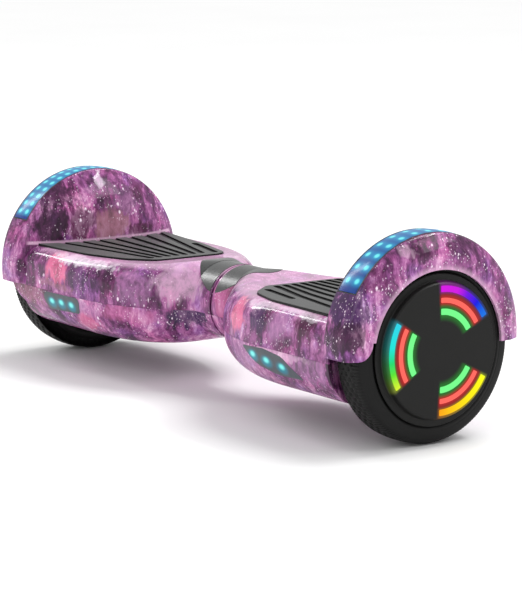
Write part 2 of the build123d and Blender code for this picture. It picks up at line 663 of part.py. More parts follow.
def frame(side):
    """Cast aluminium frame: pivot hub, floor plate, ribs and axle seat."""
    plan = FilletPolyline((30, -19), (58, -21), (80, -46), (104, -62), (212, -62), (226, -34), (226, 34),
                          (212, 62), (104, 62), (80, 46), (58, 21), (30, 19), radius=6, close=True)
    body = prism_z(make_face(plan), FRAME_Z0, FRAME_Z1)
    body -= block(112, 186, -26, 26, FRAME_Z0 - 1, FRAME_Z1 + 1)
    body += rod_x(HUB_R, HUB_X0, HUB_X1)
    for sign in (-1, 1):
        for x0, x1, y0, y1 in ((92, 206, 40, 44), (92, 96, 12, 42), (202, 206, 24, 42), (48, 94, 14, 18)):
            low, high = sorted((sign * y0, sign * y1))
            body += block(x0, x1, low, high, FRAME_Z1 - 1, 88)
    body += block(CLAMP_X0, CLAMP_X1, -22, 22, FRAME_Z0, AXLE_Z - 0.4)
    flats = block(CLAMP_X0 - 10, CLAMP_X1 + 4, -AXLE_FLAT - 0.05, AXLE_FLAT + 0.05, 60, 110)
    body -= rod_x(AXLE_R + PRESS_GAP, CLAMP_X0 - 10, CLAMP_X1 + 4) & flats
    body -= rod_x(HUB_R - 0.5, HUB_X1, 60)
    if side == "right":
        body -= rod_x(BUSH_R + PRESS_GAP, 0, HUB_X1)
        shoulder = rod_x(BUSH_R + 1, HUB_X0 + BUSH_LENGTH, HUB_X1 - BUSH_LENGTH)
        body += shoulder - rod_x(SHAFT_R + 0.4, 0, 60)
        body -= stop_slot()
        for x, y in BOARD_POSTS:
            body += rod_z(3.5, BOARD_Z1 + 0.02, FRAME_Z0 + 0.1, x, y)
    else:
        body -= rod_x(SHAFT_R + PRESS_GAP, 0, HUB_X1)
        body -= rod_z(PIN_R + PRESS_GAP, AXLE_Z, AXLE_Z + 40, PIN_X, 0)
    for x, y in CLAMP_HOLES:
        body -= rod_z(M5_R + PRESS_GAP, 60, 100, x, y)
    for x, y in LOW_BOSSES:
        body -= rod_z(SCREW_R + 0.05, 60, 80, x, y)
    for x, y in TOP_BOSSES:
        body -= rod_z(SCREW_R + 0.15, 60, 80, x, y)
    for x, y in GYRO_POSTS:
        body += rod_z(3.5, FRAME_Z1 - 1, GYRO_Z, x, y)
        body -= rod_z(1.3, GYRO_Z - 8, GYRO_Z + 1, x, y)
    return body


def stop_slot():
    """Slot over the top of the right pivot hub that lets the stop pin swing."""
    wedge_half = TILT_LIMIT + degrees(asin(PIN_R / (SHAFT_R + 0.4))) + 0.6
    reach = 40.0
    side_y = reach * sin(radians(wedge_half))
    side_z = reach * cos(radians(wedge_half))
    face = make_face(Polyline((PIN_X - PIN_R - 0.3, 0, AXLE_Z), (PIN_X - PIN_R - 0.3, -side_y, AXLE_Z + side_z),
                              (PIN_X - PIN_R - 0.3, side_y, AXLE_Z + side_z), close=True))
    return extrude(face, 2 * PIN_R + 0.6, dir=(1, 0, 0))


def pivot_shaft():
    """Hollow steel shaft joining the halves; pressed into the left frame."""
    tube = rod_x(SHAFT_R, -SHAFT_END_X, SHAFT_END_X) - rod_x(SHAFT_IN_R, -60, 60)
    tube -= rod_x(20, 51.3, 52.7) - rod_x(SHAFT_R - 1.2, 51, 53)
    return tube - rod_z(PIN_R + PRESS_GAP, AXLE_Z, AXLE_Z + 20, PIN_X, 0) - rod_z(
        PIN_R + PRESS_GAP, AXLE_Z, AXLE_Z + 20, -PIN_X, 0)


def pivot_bushes():
    """Two flanged bronze bushes in the right hub."""
    inner = rod_x(BUSH_R, HUB_X0, HUB_X0 + BUSH_LENGTH - 0.1) + rod_x(HUB_R - 1, HUB_X0 - 1.5, HUB_X0)
    outer = rod_x(BUSH_R, HUB_X1 - BUSH_LENGTH + 0.1, HUB_X1) + rod_x(HUB_R - 1, HUB_X1, HUB_X1 + 1)
    bore = rod_x(SHAFT_R + RUN_FIT, 0, 60)
    return [inner - bore, outer - bore]


def pivot_retainers():
    """Circlip at the shaft's right end, the stop pin, and the pin that locks the left hub."""
    clip = rod_x(SHAFT_R + 3.2, 51.35, 52.65) - rod_x(SHAFT_R - 1.15, 51, 53)
    clip -= block(51, 53, -4, 4, AXLE_Z - 20, AXLE_Z)
    stop = rod_z(PIN_R, AXLE_Z + 10, AXLE_Z + HUB_R - 0.5, PIN_X, 0)
    lock = rod_z(PIN_R, AXLE_Z + 10, AXLE_Z + HUB_R - 0.5, -PIN_X, 0)
    return [clip, stop, lock]


def axle_clamp():
    """Cap that holds the flattened axle down on the frame."""
    cap = block(CLAMP_X0, CLAMP_X1, -22, 22, AXLE_Z + 0.4, AXLE_Z + 13)
    cap = fillet(cap.edges().filter_by(Axis.X).group_by(Axis.Z)[-1], 3)
    cap -= rod_x(AXLE_R + PRESS_GAP, CLAMP_X0 - 1, CLAMP_X1 + 1) & block(
        190, 240, -AXLE_FLAT - 0.05, AXLE_FLAT + 0.05, 60, 110)
    for x, y in CLAMP_HOLES:
        cap -= rod_z(M5_R + PRESS_GAP, 60, 110, x, y)
    return cap


def cap_screw(x, y, z_head, length, radius, head_r, head_h, down=True):
    """Socket-head screw along Z with its head at z_head, pointing down or up."""
    sign = -1 if down else 1
    shank = rod_z(radius, min(z_head, z_head + sign * length), max(z_head, z_head + sign * length), x, y)
    top = z_head - sign * head_h
    head = rod_z(head_r, min(z_head, top), max(z_head, top), x, y)
    socket = Pos(x, y, top) * extrude(make_face(RegularPolygon(head_r * 0.5, 6).edges()), head_h * 0.55, both=True)
    return shank + head - socket


def frame_bolts():
    """Axle clamp bolts and the small screws of the gyro board."""
    bolts = [cap_screw(x, y, AXLE_Z + 13.05, 20, M5_R, 4.2, 5) for x, y in CLAMP_HOLES]
    return bolts + [cap_screw(x, y, GYRO_Z + 1.65, 6, 1.25, 2.6, 1.8) for x, y in GYRO_POSTS]


def shell_screws():
    """Screws that hold the bottom and the top shell to the frame."""
    low = [cap_screw(x, y, HEAD_SEAT_Z, FRAME_Z1 - HEAD_SEAT_Z - 0.1, SCREW_R, HEAD_R, 3, down=False)
           for x, y in LOW_BOSSES]
    top = [cap_screw(x, y, FRAME_Z0 - 0.05, 16, SCREW_R, HEAD_R, 2, down=False) for x, y in TOP_BOSSES]
    return low + top


# ---------------------------------------------------------------- electronics
def gyro_board():
    """Balance sensor board with two photo switches under the foot pad."""
    board = block(138, 188, -56, 56, GYRO_Z + 0.02, GYRO_Z + 1.6)
    for x, y in GYRO_POSTS:
        board -= rod_z(1.35, 90, 100, x, y)
    top = GYRO_Z + 1.55
    board += block(154, 160, -4, 4, top, top + 1.6)
    board += block(168, 178, -10, 2, top, top + 2.0)
    board += block(142, 150, 8, 22, top, top + 6.0)
    for y in (-PLUNGER_Y, PLUNGER_Y):
        switch = block(PLUNGER_X - 7, PLUNGER_X + 7, y - 4, y + 4, top, top + 7.2)
        board += switch - block(PLUNGER_X - 1.7, PLUNGER_X + 1.7, y - 5, y + 5, top + 2, top + 9)
    return board


def pad_plungers():
    """Rubber plungers under the pad; each one's flag dips into its photo switch."""
    plungers = []
    for y in (-PLUNGER_Y, PLUNGER_Y):
        stem = rod_z(PLUNGER_R, 107.4, RECESS_Z - 0.05, PLUNGER_X, y)
        collar = rod_z(8.0, 107.4, DECK_Z - WALL - 0.3, PLUNGER_X, y)
        flag = block(PLUNGER_X - 0.9, PLUNGER_X + 0.9, y - 2.8, y + 2.8, 101.6, 107.5)
        plungers.append(stem + collar + flag)
    return plungers


CELL_R = 9.0
CELL_LENGTH = 65.0
BATTERY_X = 95.0
BATTERY_Z = 38.12
HARNESS_END_X = 61.0
CABLE_R = 4.0


def battery_pack():
    """Ten pairs of round cells in two layers, with the protection board at the inner end."""
    pitch = 2 * (CELL_R + 0.1)
    pieces = []
    for layer in range(2):
        for row in range(5):
            for column in range(2):
                x0 = BATTERY_X + column * (CELL_LENGTH + 0.4)
                z = BATTERY_Z + CELL_R + layer * pitch
                pieces.append(rod_x(CELL_R, x0, x0 + CELL_LENGTH, (row - 2) * pitch, z))
    board = block(BATTERY_X - 2.4, BATTERY_X - 0.8, -24, 24, 40, 68)
    board += block(BATTERY_X - 9, BATTERY_X - 2.3, -10, 10, 50, 62)
    return pieces + [board]


def main_board():
    """Motor controller with power transistors on a heat sink, capacitors and plugs."""
    board = block(84, 200, -36, 36, BOARD_Z0, BOARD_Z1)
    board += block(96, 184, -12, 12, BOARD_Z1 - 0.1, 68.1)
    for i in range(7):
        board += block(98, 182, -11.5 + 3.6 * i, -10.1 + 3.6 * i, 68.0, FRAME_Z0 - 1.8)
    for i in range(6):
        board += block(102 + 14 * i, 112 + 14 * i, 13, 17.5, 55, BOARD_Z0 + 0.1)
    for x in (102, 124):
        board += rod_z(8, 40, BOARD_Z0 + 0.1, x, -24)
    for i in range(4):
        board += block(146 + 13 * i, 156 + 13 * i, -33, -24, 53, BOARD_Z0 + 0.1)
    socket = block(HARNESS_END_X + 0.4, HARNESS_END_X + 14, -8, 8, FRAME_Z1 + 0.05, 88)
    return [board, socket]


def cable_harness():
    """Wire bundle through the hollow shaft, with its plug on the left frame."""
    bundle = rod_x(CABLE_R, -98, HARNESS_END_X)
    return bundle + block(-111, -97.5, -8, 8, FRAME_Z1 + 0.05, 88)


def power_button():
    """Round push button with a retaining flange inside the shell."""
    wall_in = BODY_HALF - WALL
    cap = rod_y(BUTTON_R, wall_in - 3, BODY_HALF + 1.6, BUTTON_X, REAR_Z)
    cap = fillet(cap.faces().sort_by(Axis.Y)[-1].edges(), 1.0)
    cap += rod_y(BUTTON_R + 2, wall_in - 2.4, wall_in - 0.4, BUTTON_X, REAR_Z)
    return cap + rod_y(2.5, wall_in - 6, wall_in - 2.9, BUTTON_X, REAR_Z)


def power_switch():
    """Switch body behind the button, on a bracket from the frame."""
    face = BODY_HALF - WALL - 6 - BUTTON_TRAVEL - 0.4
    body = block(BUTTON_X - 7, BUTTON_X + 7, face - 12, face, REAR_Z - 7, REAR_Z + 7)
    body += block(BUTTON_X - 5, BUTTON_X + 5, 50, face - 11.5, FRAME_Z1 + 0.02, FRAME_Z1 + 2.0)
    return body + block(BUTTON_X - 5, BUTTON_X + 5, face - 14, face - 11.5, FRAME_Z1 + 0.02, REAR_Z + 5)


PORT_FACE_Y = BODY_HALF + 1.5
HINGE_Z = REAR_Z + 12.2
HINGE_Y = PORT_FACE_Y + 1.4
CAP_PIN_R = 0.9


def charge_port():
    """Three-pin charging socket with its flange and the knuckle of its cover."""
    port = rod_y(PORT_R, 70, BODY_HALF + 0.1, PORT_X, REAR_Z)
    port += rod_y(10.2, BODY_HALF + 0.15, PORT_FACE_Y, PORT_X, REAR_Z)
    port += rod_y(PORT_R, BODY_HALF, BODY_HALF + 0.3, PORT_X, REAR_Z)
    port -= rod_y(5.6, PORT_FACE_Y - 12, PORT_FACE_Y + 1, PORT_X, REAR_Z)
    for turn in range(3):
        angle = radians(90 + 120 * turn)
        port += rod_y(0.8, PORT_FACE_Y - 12.5, PORT_FACE_Y - 5.2, PORT_X + 3.2 * cos(angle), REAR_Z + 3.2 * sin(angle))
    arm = block(PORT_X - 2.4, PORT_X + 2.4, BODY_HALF + 0.15, HINGE_Y, REAR_Z + 9, HINGE_Z)
    arm += rod_x(1.9, PORT_X - 2.4, PORT_X + 2.4, HINGE_Y, HINGE_Z)
    arm -= rod_y(11.0, PORT_FACE_Y, PORT_FACE_Y + 5, PORT_X, REAR_Z)
    return port + arm - rod_x(CAP_PIN_R + 0.05, PORT_X - 5, PORT_X + 5, HINGE_Y, HINGE_Z)


def charge_cap():
    """Soft cover of the charging socket, hung on a pin through its two ears."""
    cap = rod_y(10.0, PORT_FACE_Y + 0.3, PORT_FACE_Y + 2.1, PORT_X, REAR_Z)
    for x0, x1 in ((PORT_X - 5.6, PORT_X - 2.7), (PORT_X + 2.7, PORT_X + 5.6)):
        cap += block(x0, x1, PORT_FACE_Y + 0.3, PORT_FACE_Y + 2.1, REAR_Z + 7, HINGE_Z)
        cap += rod_x(1.9, x0, x1, HINGE_Y, HINGE_Z)
        cap -= block(x0 - 0.1, x1 + 0.1, PORT_FACE_Y - 2, PORT_FACE_Y + 0.3, REAR_Z - 12, HINGE_Z + 4)
    return cap + rod_x(CAP_PIN_R, PORT_X - 5.6, PORT_X + 5.6, HINGE_Y, HINGE_Z)


# ---------------------------------------------------------------- nodes
SAME_ON_BOTH_SIDES = (
    neck_trim, fender_light_tray, fender_light_lens, axle_clamp, frame_bolts,
    shell_screws, gyro_board, pad_plungers, tyre, rotor_drum, motor_cover, magnet_ring, wheel_disc,
    wheel_lights, wheel_light_board, stator, axle,
)
HANDED = (foot_pad, fender_light_board, headlight_lens, headlight_board, frame)
SINGLE = (
    pivot_shaft, pivot_bushes, pivot_retainers, cable_harness, battery_pack, main_board,
    power_button, power_switch, charge_port, charge_cap,
)
LEFT_HALF_SINGLES = (battery_pack,)

os.makedirs("parts", exist_ok=True)
for part in SAME_ON_BOTH_SIDES:
    shape = part()
    save("left", part.__name__, shape)
    save("right", part.__name__, shape)
bearings = [bearing(239.5), bearing(268.95)]
for side in ("left", "right"):
    save(side, "bearings", bearings)
    for part in HANDED:
        save(side, part.__name__, part(side))
    shell = whole_shell(side)
    save(side, "top_shell", top_shell(side, shell))
    save(side, "bottom_shell", bottom_shell(side, shell))
for part in SINGLE:
    shape = part()
    if part in LEFT_HALF_SINGLES:
        shape = [mirror(solid, about=Plane.YZ) for solid in solids_of(shape)]
    save("", part.__name__, shape)
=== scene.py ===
import json
from math import atan2, cos, pi, radians, sin

import bmesh
import bpy
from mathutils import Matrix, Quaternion, Vector


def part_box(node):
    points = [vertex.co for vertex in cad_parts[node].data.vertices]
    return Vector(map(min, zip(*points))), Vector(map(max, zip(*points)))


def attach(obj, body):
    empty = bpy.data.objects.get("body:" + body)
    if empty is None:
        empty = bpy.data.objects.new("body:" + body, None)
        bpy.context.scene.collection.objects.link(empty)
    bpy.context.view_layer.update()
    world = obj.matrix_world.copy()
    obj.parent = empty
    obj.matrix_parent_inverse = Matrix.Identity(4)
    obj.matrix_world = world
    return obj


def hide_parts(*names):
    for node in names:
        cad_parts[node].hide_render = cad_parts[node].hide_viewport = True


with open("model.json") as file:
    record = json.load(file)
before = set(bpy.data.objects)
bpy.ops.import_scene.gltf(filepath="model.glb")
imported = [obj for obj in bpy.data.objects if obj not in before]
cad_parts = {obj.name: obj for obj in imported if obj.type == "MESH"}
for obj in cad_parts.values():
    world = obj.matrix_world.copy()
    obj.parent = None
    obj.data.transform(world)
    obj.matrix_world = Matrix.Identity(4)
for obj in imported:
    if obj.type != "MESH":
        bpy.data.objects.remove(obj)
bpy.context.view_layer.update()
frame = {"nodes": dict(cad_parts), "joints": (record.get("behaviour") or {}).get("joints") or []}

# ---------------------------------------------------------------- sizes; the axle height from the frame
AXLE_Z = next(j for j in frame["joints"] if j["name"] == "centre_pivot")["pos_m"][2]
SIDES = (("left", -1.0), ("right", 1.0))

# Fender light strip: pairs of lamps at this pitch, in two rows.
LAMP_PITCH = {"left": 6.0, "right": 8.7}
LAMP_PAIRS = {"left": 19, "right": 13}
LAMP_ROWS = (0.2593, 0.2713)
STRIP_R = 0.0946
ARCH_Z = AXLE_Z + 0.0055
# Light bars of the wheel disc: mean radii and half widths.
BAR_RADII = (0.0532, 0.0434, 0.0336)
BAR_HALF = (0.0026, 0.0021, 0.0026)
BAR_SPAN = 31.0           # degrees to each side of a group's middle
BAR_GROUPS = 3


# ---------------------------------------------------------------- node helpers
class Tree:
    """Small builder for a material's nodes."""

    def __init__(self, name):
        self.material = bpy.data.materials.new(name)
        self.material.use_nodes = True
        self.nodes = self.material.node_tree.nodes
        self.links = self.material.node_tree.links
        self.nodes.clear()
        self.output = self.nodes.new("ShaderNodeOutputMaterial")

    def add(self, kind, **settings):
        node = self.nodes.new("ShaderNode" + kind)
        for key, value in settings.items():
            setattr(node, key, value)
        return node

    def put(self, socket, value):
        """Links a socket to an output, or sets its constant."""
        if isinstance(value, bpy.types.NodeSocket):
            self.links.new(value, socket)
        elif isinstance(value, (tuple, list)) and len(value) == 3 and socket.type == "RGBA":
            socket.default_value = (*value, 1.0)
        else:
            socket.default_value = value

    def place(self):
        """Place in the row frame at rest; it stays on the piece as it moves."""
        return self.add("TexCoord").outputs["Object"]

    def scaled(self, vector, scale, shift=(0, 0, 0)):
        node = self.add("Mapping")
        self.put(node.inputs["Vector"], vector)
        node.inputs["Scale"].default_value = scale
        node.inputs["Location"].default_value = shift
        return node.outputs["Vector"]

    def noise(self, vector, scale, detail=4.0, rough=0.5, distortion=0.0, colour=False):
        node = self.add("TexNoise")
        self.put(node.inputs["Vector"], vector)
        node.inputs["Scale"].default_value = scale
        node.inputs["Detail"].default_value = detail
        node.inputs["Roughness"].default_value = rough
        node.inputs["Distortion"].default_value = distortion
        return node.outputs["Color" if colour else "Fac"]

    def voronoi(self, vector, scale, feature="F1"):
        node = self.add("TexVoronoi", feature=feature)
        self.put(node.inputs["Vector"], vector)
        node.inputs["Scale"].default_value = scale
        return node

    def math(self, operation, a, b=0.0):
        node = self.add("Math", operation=operation)
        self.put(node.inputs[0], a)
        self.put(node.inputs[1], b)
        return node.outputs[0]

    def ramp(self, fac, stops):
        node = self.add("ValToRGB")
        elements = node.color_ramp.elements
        while len(elements) < len(stops):
            elements.new(0.5)
        for element, (position, colour) in zip(elements, stops):
            element.position = position
            element.color = (*colour, 1.0)
        self.put(node.inputs[0], fac)
        return node.outputs["Color"]

    def span(self, value, from_low, from_high, low=0.0, high=1.0, smooth=False):
        node = self.add("MapRange", interpolation_type="SMOOTHSTEP" if smooth else "LINEAR", clamp=True)
        self.put(node.inputs["Value"], value)
        node.inputs["From Min"].default_value = from_low
        node.inputs["From Max"].default_value = from_high
        node.inputs["To Min"].default_value = low
        node.inputs["To Max"].default_value = high
        return node.outputs["Result"]

    def mix(self, fac, a, b, blend="MIX"):
        node = self.add("Mix", data_type="RGBA", blend_type=blend)
        self.put(node.inputs["Factor"], fac)
        self.put(node.inputs[6], a)
        self.put(node.inputs[7], b)
        return node.outputs[2]

    def centred(self, value, width):
        """A noise value moved to swing about zero, and scaled."""
        return self.math("MULTIPLY", self.math("SUBTRACT", value, 0.5), width)

    def reach(self, a, b):
        """Length of the flat vector (a, b)."""
        return self.math("SQRT", self.math("ADD", self.math("MULTIPLY", a, a), self.math("MULTIPLY", b, b)))

    def split(self, vector):
        node = self.add("SeparateXYZ")
        self.put(node.inputs[0], vector)
        return node.outputs

    def combine(self, x, y, z):
        node = self.add("CombineXYZ")
        for socket, value in zip(node.inputs, (x, y, z)):
            self.put(socket, value)
        return node.outputs[0]

    def distance(self, vector, centre, scale):
        """Distance from a centre, measured in ellipsoid units."""
        moved = self.add("VectorMath", operation="SUBTRACT")
        self.put(moved.inputs[0], vector)
        moved.inputs[1].default_value = centre
        shaped = self.add("VectorMath", operation="DIVIDE")
        self.put(shaped.inputs[0], moved.outputs[0])
        shaped.inputs[1].default_value = scale
        length = self.add("VectorMath", operation="LENGTH")
        self.put(length.inputs[0], shaped.outputs[0])
        return length.outputs["Value"]

    def bump(self, height, strength, depth):
        node = self.add("Bump")
        node.inputs["Strength"].default_value = strength
        node.inputs["Distance"].default_value = depth
        self.put(node.inputs["Height"], height)
        return node.outputs["Normal"]

    def surface(self, **inputs):
        """Principled surface; keys are socket names with _ for a space."""
        shader = self.add("BsdfPrincipled")
        for key, value in inputs.items():
            self.put(shader.inputs[key.replace("_", " ")], value)
        self.links.new(shader.outputs[0], self.output.inputs["Surface"])
        return self.material


# ---------------------------------------------------------------- shell print
def srgb(red, green, blue):
    """Linear colour from an 8-bit display colour."""
    def linear(value):
        value /= 255
        return value / 12.92 if value <= 0.04045 else ((value + 0.055) / 1.055) ** 2.4
    return linear(red), linear(green), linear(blue)


PLUM = srgb(58, 22, 54)
INK = srgb(60, 38, 84)
VIOLET = srgb(76, 40, 92)
WINE = srgb(92, 24, 72)
PALE = srgb(232, 188, 218)
# near-white for painted highlights along edges
PAINTED_HIGHLIGHT_WHITE = srgb(250, 232, 248)
LILAC = srgb(186, 132, 182)
MAUVE = srgb(126, 88, 124)
PINK = srgb(236, 116, 162)
ROSE = srgb(206, 106, 158)
SMOKE = srgb(170, 112, 132)
STAR = srgb(255, 232, 250)
# dull grey laid on the underside as painted shade
UNDERSIDE_SHADE_GREY = srgb(58, 54, 57)
CLOUD_STOPS = (
    (0.22, srgb(52, 20, 48)), (0.36, srgb(88, 38, 82)), (0.45, srgb(120, 58, 110)), (0.53, srgb(150, 80, 138)),
    (0.61, srgb(180, 108, 164)), (0.71, srgb(210, 148, 194)), (0.84, srgb(240, 202, 226)),
)


OPENING_HIGHLIGHT_IN, OPENING_HIGHLIGHT_OUT = 0.0695, 0.0750      # the painted highlight round the wheel opening fades out between these radii
DOME_FOOT_Z = 0.1152


def painted_edge_highlight(t):
    """Painted highlight in the pale print colour: round the rim of the wheel opening, along the dome's foot
    and over the top of the deck.
    """
    radius, _ = wheel_polar(t)
    x, _, z = t.split(t.place())
    out = t.math("ABSOLUTE", x)
    rim = t.span(radius, OPENING_HIGHLIGHT_OUT, OPENING_HIGHLIGHT_IN, 0, 0.50, smooth=True)
    opening = t.math("MULTIPLY", rim, t.span(out, 0.2785, 0.2815))
    band = t.span(z, DOME_FOOT_Z + 0.0014, DOME_FOOT_Z, 0, 0.75)
    foot = t.math("MULTIPLY", band, t.span(out, 0.2265, 0.2285))
    foot = t.math("MULTIPLY", foot, t.span(out, 0.2480, 0.2460))
    foot = t.math("MULTIPLY", foot, t.span(z, 0.1124, 0.1134))
    height = t.span(z, 0.1075, 0.1118, 0, 0.50, smooth=True)
    deck = t.math("MULTIPLY", height, t.span(out, 0.2300, 0.2250))
    return t.math("MAXIMUM", t.math("MAXIMUM", opening, foot), deck)


WARP = 0.016              # how far the wobble pushes the clouds about
CLOUD_SWING = 1.25        # shares of the three noises in the print's tone
FINE_SWING = 0.80
DRIP_SWING = 0.22
ROSY = (1.22, 0.80, 0.98)
COOL = (0.82, 0.92, 1.16)
UNDERSIDE_SHADE_Z = 0.0372          # the underside is darkened toward dull grey below this height, as painted shade


def patch_shades(t, tone, paint):
    """The paint of a colour patch, from deep to light with the print's tone."""
    deep = tuple(value * 0.5 for value in paint)
    light = tuple(value * 0.68 + pale * 0.32 for value, pale in zip(paint, PALE))
    shaded = t.mix(t.span(tone, 0.28, 0.50), deep, paint)
    return t.mix(t.span(tone, 0.52, 0.82), shaded, light)


def shell_print(name, patches, lift, shift):
    """Glossy printed space pattern: clouds, drips, colour patches and stars, with painted highlights on edges
    and painted shade on the underside.
    """
    t = Tree(name)
    place = t.scaled(t.place(), (1, 1, 1), shift)
    wobble = t.noise(place, 34, 3, 0.6, colour=True)
    warp = t.add("VectorMath", operation="MULTIPLY_ADD")
    t.put(warp.inputs[0], wobble)
    warp.inputs[1].default_value = (WARP, WARP, WARP)
    t.put(warp.inputs[2], t.scaled(place, (1, 1, 0.62)))
    warped = warp.outputs[0]
    cloud = t.noise(warped, 38, 6, 0.60, 0.3)
    fine = t.noise(t.scaled(warped, (1, 1, 0.7)), 190, 5, 0.70)
    drip = t.noise(t.scaled(place, (1, 1, 0.12)), 210, 2, 0.5)
    tone = t.math("ADD", t.centred(cloud, CLOUD_SWING), 0.5 + lift)
    tone = t.math("ADD", tone, t.centred(fine, FINE_SWING))
    tone = t.math("ADD", tone, t.centred(drip, DRIP_SWING))
    colour = t.ramp(tone, CLOUD_STOPS)
    hue = t.noise(place, 40, 3, 0.5)
    rosy = t.mix(1.0, colour, ROSY, "MULTIPLY")
    cool = t.mix(1.0, colour, COOL, "MULTIPLY")
    colour = t.mix(t.span(hue, 0.54, 0.68, 0, 0.8), colour, rosy)
    colour = t.mix(t.span(hue, 0.46, 0.34, 0, 0.8), colour, cool)
    edge = pushed_about(t, wobble)
    ragged = t.math("ADD", t.centred(fine, 1.2), t.centred(drip, 1.3))
    for centre, radii, paint, strength in patches:
        reach = t.math("ADD", t.distance(edge, centre, radii), ragged)
        mask = t.span(reach, 1.15, 0.70, 0, strength, smooth=True)
        colour = t.mix(mask, colour, patch_shades(t, tone, paint))
    # painted highlight: pale print colour laid round the wheel opening, along the dome's foot and over the
    # deck top
    colour = t.mix(painted_edge_highlight(t), colour, PALE)
    # painted shade: the underside below this height is darkened unevenly toward dull grey
    low = t.span(t.split(t.place())[2], UNDERSIDE_SHADE_Z, UNDERSIDE_SHADE_Z - 0.0014)
    colour = t.mix(t.math("MULTIPLY", low, t.span(fine, 0.35, 0.6, 0.85, 0.55)), colour, UNDERSIDE_SHADE_GREY)
    colour = t.mix(star_field(t, place), colour, STAR)
    peel = t.noise(place, 900, 2, 0.5)
    return t.surface(
        Base_Color=colour, Roughness=t.span(fine, 0.3, 0.7, 0.40, 0.50), Coat_Weight=0.55, Coat_Roughness=0.05,
        Specular_IOR_Level=0.1, Normal=t.bump(peel, 0.04, 0.0004),
    )


EDGE_PUSH = Vector((0.030, 0.030, 0.022))


def pushed_about(t, wobble):
    """Place pushed about by the wobble noise, so that a patch has a ragged edge."""
    warp = t.add("VectorMath", operation="MULTIPLY_ADD")
    t.put(warp.inputs[0], wobble)
    warp.inputs[1].default_value = EDGE_PUSH
    t.put(warp.inputs[2], t.place())
    shift = t.add("VectorMath", operation="SUBTRACT")
    t.put(shift.inputs[0], warp.outputs[0])
    shift.inputs[1].default_value = EDGE_PUSH / 2
    return shift.outputs[0]


# Stars: cells per metre, radius in cells, share of cells that hold one, squash in height, brightness.
STARS = ((125, 0.20, 0.40, 0.62, 1.0), (260, 0.24, 0.56, 0.62, 0.85), (480, 0.32, 0.66, 0.8, 0.6))


def star_field(t, place):
    """White specks in three sizes that gather in drifts."""
    total = None
    drift = t.noise(place, 46, 3, 0.6)
    for scale, size, share, tall, bright in STARS:
        cells = t.voronoi(t.scaled(place, (1, 1, tall), (0.013 * scale, 0.007 * scale, 0.0)), scale)
        dot = t.span(cells.outputs["Distance"], size, size * 0.45, 0, bright, smooth=True)
        pick = t.split(cells.outputs["Color"])[0]
        dense = t.span(drift, 0.40, 0.64, 0.20, 1.25)
        chosen = t.span(t.math("MULTIPLY", pick, dense), 1 - share, 1 - share * 0.7)
        spot = t.math("MULTIPLY", dot, chosen)
        total = spot if total is None else t.math("MAXIMUM", total, spot)
    return total


# ---------------------------------------------------------------- plain materials
def moulded_plastic(name, base, spread, roughness, coat=0.0):
    """Moulded plastic with a fine grain and slight colour variation."""
    t = Tree(name)
    place = t.place()
    grain = t.noise(place, 900, 3, 0.6)
    cloud = t.noise(place, 35, 3, 0.5)
    colour = t.mix(cloud, base, spread)
    rough = t.span(t.noise(place, 120, 4, 0.6), 0.3, 0.7, roughness - 0.06, roughness + 0.06)
    return t.surface(Base_Color=colour, Roughness=rough, Coat_Weight=coat, Coat_Roughness=0.2,
                     Normal=t.bump(grain, 0.12, 0.0004))


def rubber(name, base, spread):
    """Soft moulded rubber."""
    t = Tree(name)
    place = t.place()
    grain = t.noise(place, 1400, 3, 0.6)
    cloud = t.noise(place, 60, 5, 0.6)
    colour = t.mix(cloud, base, spread)
    return t.surface(Base_Color=colour, Roughness=t.span(cloud, 0.3, 0.7, 0.57, 0.73), Specular_IOR_Level=0.35,
                     Normal=t.bump(grain, 0.18, 0.0004))


def cast_metal(name, base, roughness, scale=700.0):
    """Cast or turned metal with a fine surface."""
    t = Tree(name)
    place = t.place()
    pits = t.noise(place, scale, 4, 0.65)
    cloud = t.noise(place, 45, 4, 0.6)
    colour = t.mix(t.span(cloud, 0.3, 0.7), base, tuple(c * 0.72 for c in base))
    rough = t.span(pits, 0.3, 0.7, roughness - 0.07, roughness + 0.07)
    return t.surface(Base_Color=colour, Metallic=1.0, Roughness=rough, Normal=t.bump(pits, 0.2, 0.0003))


def circuit_board(name):
    """Green solder mask with traces and darker blocks."""
    t = Tree(name)
    place = t.place()
    traces = t.voronoi(place, 260, "DISTANCE_TO_EDGE")
    line = t.span(traces.outputs["Distance"], 0.06, 0.02)
    colour = t.mix(t.math("MULTIPLY", line, 0.6), (0.010, 0.085, 0.040), (0.05, 0.20, 0.08))
    colour = t.mix(t.span(t.noise(place, 60, 2), 0.5, 0.6), colour, (0.015, 0.06, 0.035))
    return t.surface(Base_Color=colour, Roughness=0.35, Coat_Weight=0.4, Coat_Roughness=0.15,
                     Normal=t.bump(line, 0.2, 0.0002))


def windings(name):
    """Copper windings round a dark laminated core."""
    t = Tree(name)
    x, _, _ = t.split(t.place())
    wave = t.math("SINE", t.math("MULTIPLY", x, 6500.0))
    colour = t.mix(t.span(wave, -1, 1), (0.40, 0.13, 0.04), (0.75, 0.30, 0.11))
    return t.surface(Base_Color=colour, Metallic=0.9, Roughness=0.35, Normal=t.bump(wave, 0.4, 0.0003))


def battery_sleeve(name):
    """Shrink sleeve over the cells."""
    t = Tree(name)
    place = t.place()
    crease = t.noise(t.scaled(place, (1, 4, 4)), 120, 4, 0.6)
    colour = t.mix(crease, (0.01, 0.08, 0.28), (0.03, 0.18, 0.45))
    return t.surface(Base_Color=colour, Roughness=0.28, Coat_Weight=0.5, Coat_Roughness=0.1,
                     Normal=t.bump(crease, 0.2, 0.0005))


